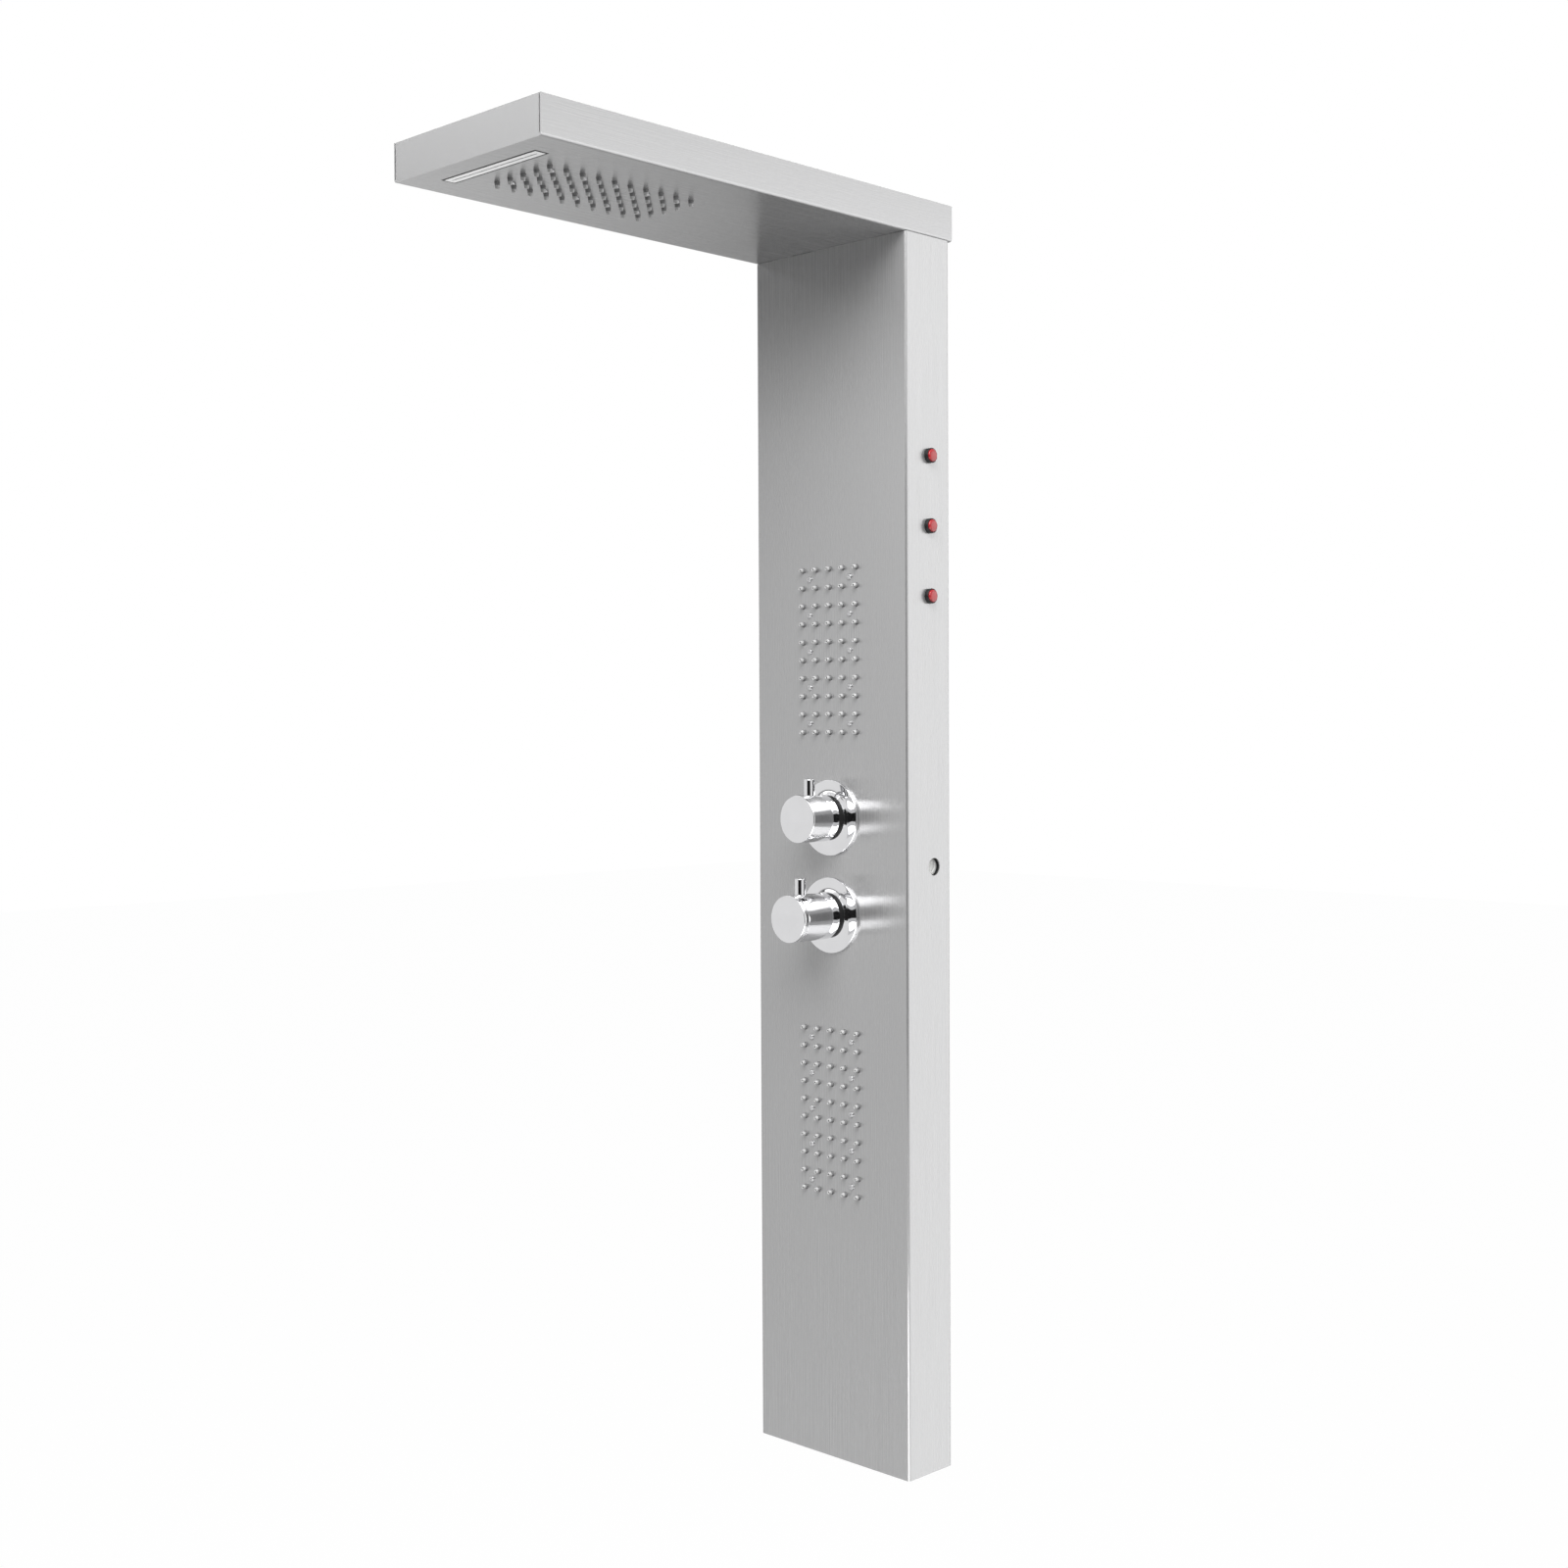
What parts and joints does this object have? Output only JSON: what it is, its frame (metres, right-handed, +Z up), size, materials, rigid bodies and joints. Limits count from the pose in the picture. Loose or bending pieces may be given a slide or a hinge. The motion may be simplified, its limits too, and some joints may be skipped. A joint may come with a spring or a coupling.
{
  "type": "shower column",
  "caption": "Wall-hung brushed steel shower column with an overhead arm, rain and waterfall outlets, body jets, thermostatic and flow knobs and side push buttons.",
  "frame": {"origin": "on the wall plane, midway between the upper wall bracket's two screws", "axes": "+Z up, +Y into the wall, -Y out into the room, +X to the right as seen from the front"},
  "size_m": [0.2065, 0.505, 1.225],
  "materials": {
    "brushed_steel": "brushed along the column",
    "bracket_steel": "galvanised",
    "fasteners": "plain stainless",
    "jet_silicone": "matte silicone with pale tips",
    "manifold_plastic": "moulded",
    "white_plastic": "smooth",
    "brass": "machined",
    "cartridge_plastic": "moulded",
    "chrome": "polished",
    "black_plastic": "satin",
    "red_plastic": "smooth",
    "pipe_steel": "drawn tube"
  },
  "bodies": {
    "column": {"column_casing": "brushed_steel", "arm_tray": "brushed_steel", "arm_cover": "brushed_steel", "bottom_cover": "brushed_steel", "cover_rail_left": "bracket_steel", "cover_rail_right": "bracket_steel", "joint_angle_left": "bracket_steel", "joint_angle_right": "bracket_steel", "upper_wall_bracket": "bracket_steel", "lower_wall_bracket": "bracket_steel", "upper_hanger_bar": "bracket_steel", "lower_hanger_bar": "bracket_steel", "arm_cover_screws": "fasteners", "arm_bolts": "fasteners", "upper_jet_screws": "fasteners", "lower_jet_screws": "fasteners", "rain_jet_screws": "fasteners", "button_nuts": "fasteners", "top_button_spring": "fasteners", "middle_button_spring": "fasteners", "bottom_button_spring": "fasteners", "upper_jet_blocks": "jet_silicone", "lower_jet_blocks": "jet_silicone", "rain_jet_blocks": "jet_silicone", "upper_manifold": "manifold_plastic", "lower_manifold": "manifold_plastic", "rain_manifold": "manifold_plastic", "waterfall_chamber": "manifold_plastic", "selector_block": "manifold_plastic", "selector_cover": "manifold_plastic", "waterfall_insert": "white_plastic", "outlet_plug": "white_plastic", "mixer_body": "brass", "flow_body": "brass", "hot_inlet_nipple": "brass", "cold_inlet_nipple": "brass", "flow_cartridge": "cartridge_plastic", "mixer_cartridge": "cartridge_plastic", "flow_escutcheon": "chrome", "mixer_escutcheon": "chrome", "flow_gap_ring": "black_plastic", "mixer_gap_ring": "black_plastic", "button_bezels": "black_plastic", "outlet_bush": "black_plastic", "mixed_water_pipe": "pipe_steel", "jet_link_pipe": "pipe_steel", "riser_pipe": "pipe_steel", "outlet_pipe": "pipe_steel", "jet_feed_pipe": "pipe_steel", "waterfall_pipe": "pipe_steel", "rain_pipe": "pipe_steel"},
    "flow_control": {"flow_knob": "chrome", "flow_knob_pin": "chrome", "flow_spindle": "brass"},
    "mixer_control": {"mixer_knob": "chrome", "mixer_knob_pin": "chrome", "mixer_spindle": "brass"},
    "top_push": {"top_button": "red_plastic"},
    "middle_push": {"middle_button": "red_plastic"},
    "bottom_push": {"bottom_button": "red_plastic"}
  },
  "joints": [
    {"name": "flow_turn", "type": "hinge", "parent": "column", "child": "flow_control", "pos_m": [0, -0.09, -0.476], "axis": [0, -1, 0], "range_deg": [0, 90]},
    {"name": "mixer_turn", "type": "hinge", "parent": "column", "child": "mixer_control", "pos_m": [0, -0.09, -0.572], "axis": [0, -1, 0], "range_deg": [-120, 120]},
    {"name": "top_press", "type": "slide", "parent": "column", "child": "top_push", "axis": [-1, 0, 0], "range_m": [0, 0.002], "stiffness_N_per_m": 400, "springref_m": -0.004, "deforming": ["top_button_spring"]},
    {"name": "middle_press", "type": "slide", "parent": "column", "child": "middle_push", "axis": [-1, 0, 0], "range_m": [0, 0.002], "stiffness_N_per_m": 400, "springref_m": -0.004, "deforming": ["middle_button_spring"]},
    {"name": "bottom_press", "type": "slide", "parent": "column", "child": "bottom_push", "axis": [-1, 0, 0], "range_m": [0, 0.002], "stiffness_N_per_m": 400, "springref_m": -0.004, "deforming": ["bottom_button_spring"]}
  ]
}
